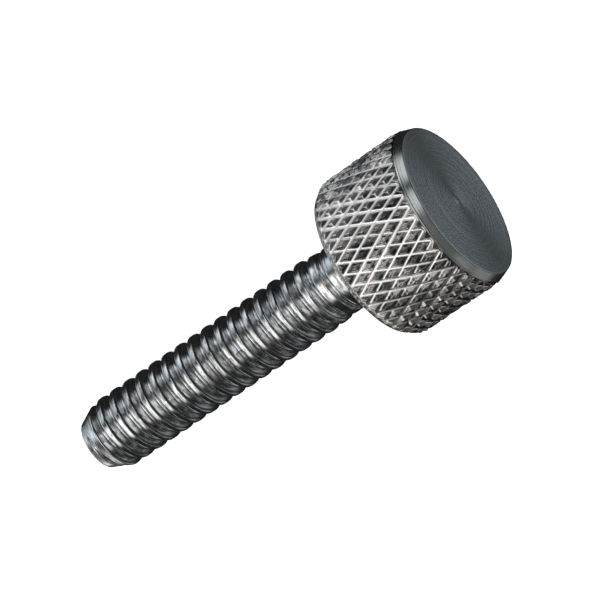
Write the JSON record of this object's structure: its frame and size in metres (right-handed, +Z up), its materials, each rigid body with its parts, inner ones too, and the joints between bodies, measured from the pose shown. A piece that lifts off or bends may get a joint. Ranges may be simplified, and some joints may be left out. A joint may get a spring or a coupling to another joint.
{
  "type": "knurled thumb screw",
  "caption": "Stainless thumb screw turned in one piece: cylindrical diamond-knurled head with a flat face, short plain neck and a right-hand 6-32 thread.",
  "frame": {"origin": "centre of the bounding box's base, on the plane that the screw lies on", "axes": "+Z up; the screw lies with its head towards +X, and its axis rises 8.4 degrees from the end of the thread to the head"},
  "size_m": [0.0218, 0.008, 0.0085],
  "materials": {
    "stainless": "bright turned stainless, fine concentric tool marks on the face, sharp rolled knurl"
  },
  "bodies": {
    "root": {"thumb_screw": "stainless"}
  },
  "joints": []
}
